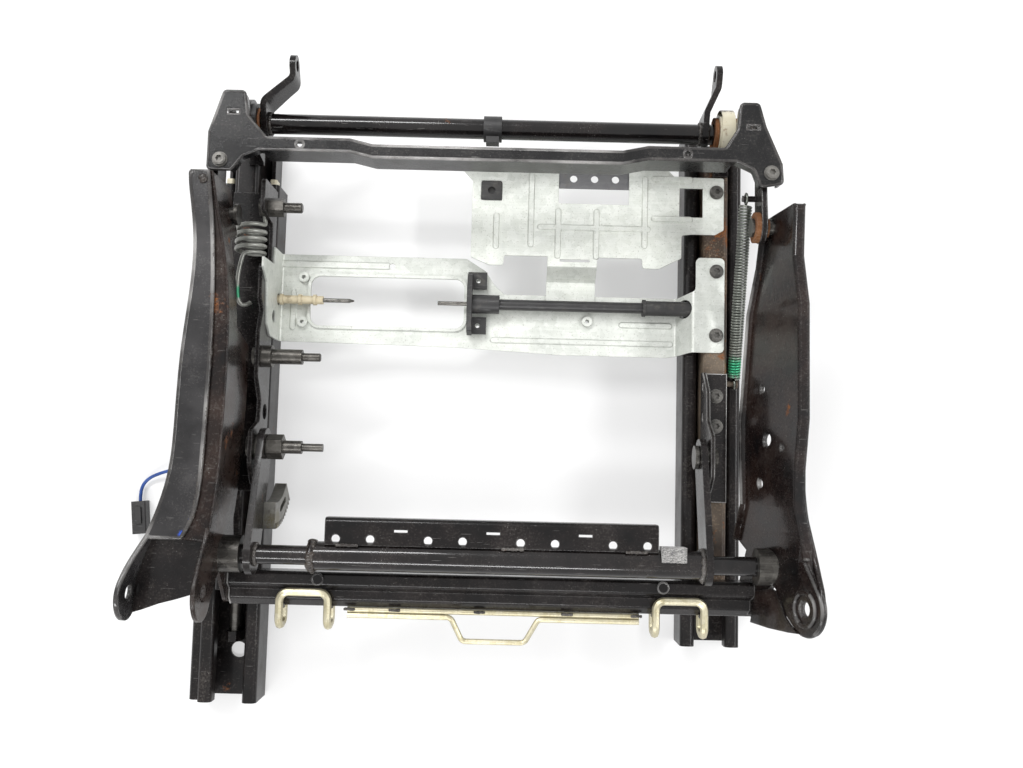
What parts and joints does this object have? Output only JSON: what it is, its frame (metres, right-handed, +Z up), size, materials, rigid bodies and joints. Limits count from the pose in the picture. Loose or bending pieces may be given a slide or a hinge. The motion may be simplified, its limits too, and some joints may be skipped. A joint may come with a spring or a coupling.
{
  "type": "seat frame",
  "caption": "Power car seat frame: two floor rails, a parallel height linkage on torque tubes, side members with backrest ears, zinc brackets and a rear beam with anchors.",
  "frame": {"origin": "middle of the frame's box, on the plane that the floor rails stand on", "axes": "+Z up, +Y to the front where the two levers end, +X to the seat's right side"},
  "size_m": [0.529, 0.5, 0.169],
  "materials": {
    "black_paint": "gloss",
    "satin_paint": "satin",
    "grey_paint": "satin",
    "rusty_steel": "worn",
    "zinc": "matt",
    "dark_zinc": "matt",
    "steel": "satin",
    "spring_steel": "satin",
    "yellow_zinc": "satin",
    "beige_plastic": "satin",
    "white_plastic": "satin",
    "black_plastic": "satin",
    "rubber": "matt",
    "felt": "matt",
    "cable_blue": "satin"
  },
  "bodies": {
    "carriage": {"left_upper_rail": "black_paint", "right_upper_rail": "rusty_steel", "left_rail_glides": "white_plastic", "right_rail_glides": "white_plastic", "left_gearbox": "black_plastic", "right_gearbox": "black_plastic", "left_upright": "black_paint", "right_upright": "black_paint", "left_front_upright": "black_paint", "right_front_upright": "black_paint", "left_front_bush": "black_plastic", "right_front_bush": "white_plastic", "motor_bracket": "zinc", "module_bracket": "zinc", "rubber_plug": "rubber", "hole_strip": "dark_zinc", "rail_screws": "steel", "rivet_nuts": "steel", "motor_end_plate": "black_plastic", "right_shaft_sheath": "black_plastic", "right_shaft_sleeve": "rubber", "right_shaft_core": "steel", "left_shaft_sheath": "beige_plastic", "left_shaft_core": "steel", "nut_stud": "steel", "collar_stud": "steel", "rear_pivots": "steel", "left_spring": "spring_steel", "right_spring": "spring_steel"},
    "left_rail": {"left_lower_rail": "black_paint", "left_lead_screw": "steel", "track_sensor": "black_plastic", "sensor_cable": "cable_blue", "sensor_connector": "black_plastic"},
    "right_rail": {"right_lower_rail": "black_paint", "right_lead_screw": "steel"},
    "front_swing": {"front_tube": "black_paint", "left_lever": "black_paint", "right_lever": "grey_paint", "left_swing_arm": "black_paint", "right_swing_arm": "black_paint", "cross_member": "satin_paint", "member_screws": "steel", "tube_clip": "black_plastic", "linkage_washers": "rusty_steel", "front_pins": "steel"},
    "rear_swing": {"rear_tube": "black_paint", "left_rear_link": "black_paint", "right_rear_link": "black_paint", "sector_gear": "steel", "perforated_strip": "black_paint", "felt_pad": "felt"},
    "seat_frame": {"left_side_outer": "grey_paint", "left_side_inner": "black_paint", "right_side_plate": "black_paint", "rear_bushes": "steel", "anchor_hooks": "yellow_zinc", "rear_wires": "yellow_zinc", "rear_beam": "black_paint"}
  },
  "joints": [
    {"name": "left_slide", "type": "slide", "parent": "carriage", "child": "left_rail", "axis": [0, 1, 0], "range_m": [-0.028, 0.17]},
    {"name": "right_slide", "type": "slide", "parent": "carriage", "child": "right_rail", "axis": [0, 1, 0], "range_m": [-0.08, 0.122]},
    {"name": "front_lift", "type": "hinge", "parent": "carriage", "child": "front_swing", "pos_m": [0, 0.204, 0.086], "axis": [-1, 0, 0], "range_deg": [-12, 24], "deforming": ["right_spring"]},
    {"name": "rear_lift", "type": "hinge", "parent": "carriage", "child": "rear_swing", "pos_m": [0, -0.0475, 0.084], "axis": [-1, 0, 0], "range_deg": [-12, 24]},
    {"name": "seat_level", "type": "hinge", "parent": "rear_swing", "child": "seat_frame", "pos_m": [0, -0.1265, 0.108], "axis": [-1, 0, 0], "range_deg": [-24, 12]}
  ],
  "couplings": [
    {"joint": "rear_lift", "follows": "front_lift", "ratio": 1},
    {"joint": "seat_level", "follows": "front_lift", "ratio": -1}
  ]
}
